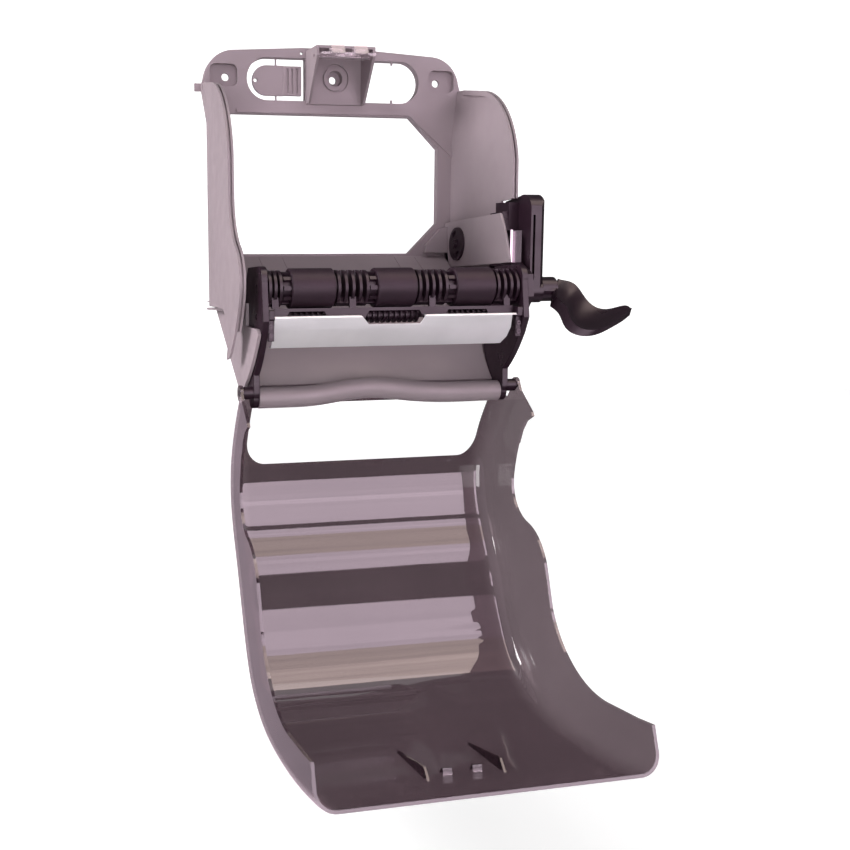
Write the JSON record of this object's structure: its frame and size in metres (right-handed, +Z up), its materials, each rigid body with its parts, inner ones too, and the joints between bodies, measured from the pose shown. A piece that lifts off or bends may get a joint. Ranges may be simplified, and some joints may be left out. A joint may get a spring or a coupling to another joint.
{
  "type": "roll towel dispenser",
  "caption": "Wall-mounted roll towel dispenser shown open: smoke cover hinged at the bottom, drive and pinch rollers, tear bar and a side press lever.",
  "frame": {"origin": "middle screw hole of the back frame, on the wall plane", "axes": "+X to the right seen from the front, +Y into the wall, +Z up; the front faces -Y"},
  "size_m": [0.3974, 0.4218, 0.656],
  "materials": {
    "frame_grey": "fine-grained moulded grey",
    "mechanism_black": "moulded black, satin",
    "sleeve_rubber": "matte black rubber",
    "bar_metal": "satin sheet metal",
    "bracket_steel": "polished sheet steel",
    "latch_clear": "clear plastic",
    "cover_smoke": "glossy smoke-black clear plastic",
    "screw_steel": "blackened steel"
  },
  "bodies": {
    "frame": {"back_frame": "frame_grey", "break_off_key": "frame_grey", "lock_bracket": "frame_grey", "gear_panel": "frame_grey", "hub_seat_left": "frame_grey", "shelf_panel": "frame_grey", "paper_chute": "frame_grey", "lower_body": "frame_grey", "left_end_plate": "mechanism_black", "right_end_plate": "mechanism_black", "roller_cages": "mechanism_black", "guide_plate": "mechanism_black", "tear_bar": "bar_metal", "bar_blocks": "mechanism_black", "assembly_screws": "screw_steel", "grip_bar": "frame_grey", "hinge_pins": "mechanism_black", "lever_housing": "mechanism_black", "steel_bracket": "bracket_steel"},
    "cover": {"cover": "cover_smoke"},
    "lever": {"lever": "mechanism_black"},
    "latch": {"lock_latch": "latch_clear"},
    "drive": {"drive_roller": "mechanism_black", "sleeve_left": "sleeve_rubber", "sleeve_centre": "sleeve_rubber", "sleeve_right": "sleeve_rubber"},
    "pinch": {"pinch_roller": "mechanism_black"},
    "hub_right": {"stub_hub_right": "mechanism_black"},
    "hub_left": {"stub_hub_left": "mechanism_black"},
    "idler": {"idler_gear": "mechanism_black"},
    "pinion": {"roller_gear": "mechanism_black"}
  },
  "joints": [
    {"name": "cover_hinge", "type": "hinge", "parent": "frame", "child": "cover", "pos_m": [0, -0.166, -0.3195], "axis": [-1, 0, 0], "range_deg": [0, 162]},
    {"name": "lever_press", "type": "hinge", "parent": "frame", "child": "lever", "pos_m": [0, -0.16005, -0.226], "axis": [1, 0, 0], "range_deg": [0, 40], "stiffness_Nm_per_rad": 0.5, "springref_deg": -20.05},
    {"name": "latch_release", "type": "hinge", "parent": "frame", "child": "latch", "pos_m": [0, -0.041, 0.0165], "axis": [1, 0, 0], "range_deg": [0, 8], "stiffness_Nm_per_rad": 0.3, "springref_deg": -4.58},
    {"name": "drive_roller_spin", "type": "hinge", "parent": "frame", "child": "drive", "pos_m": [0, -0.19, -0.223], "axis": [1, 0, 0], "continuous": true},
    {"name": "pinch_roller_spin", "type": "hinge", "parent": "frame", "child": "pinch", "pos_m": [0, -0.186, -0.24844], "axis": [1, 0, 0], "continuous": true},
    {"name": "roller_gear_spin", "type": "hinge", "parent": "frame", "child": "pinion", "pos_m": [0, -0.19, -0.223], "axis": [1, 0, 0], "range_deg": [-121, 1]},
    {"name": "idler_gear_spin", "type": "hinge", "parent": "frame", "child": "idler", "pos_m": [0, -0.13705, -0.19315], "axis": [1, 0, 0], "range_deg": [-61, 1]},
    {"name": "hub_right_spin", "type": "hinge", "parent": "frame", "child": "hub_right", "pos_m": [0.129, -0.045, -0.176], "axis": [1, 0, 0], "continuous": true},
    {"name": "hub_left_spin", "type": "hinge", "parent": "frame", "child": "hub_left", "pos_m": [-0.129, -0.045, -0.176], "axis": [1, 0, 0], "continuous": true}
  ],
  "couplings": [
    {"joint": "roller_gear_spin", "follows": "lever_press", "ratio": -3},
    {"joint": "idler_gear_spin", "follows": "lever_press", "ratio": -1.5},
    {"joint": "pinch_roller_spin", "follows": "drive_roller_spin", "ratio": -2.5278}
  ]
}
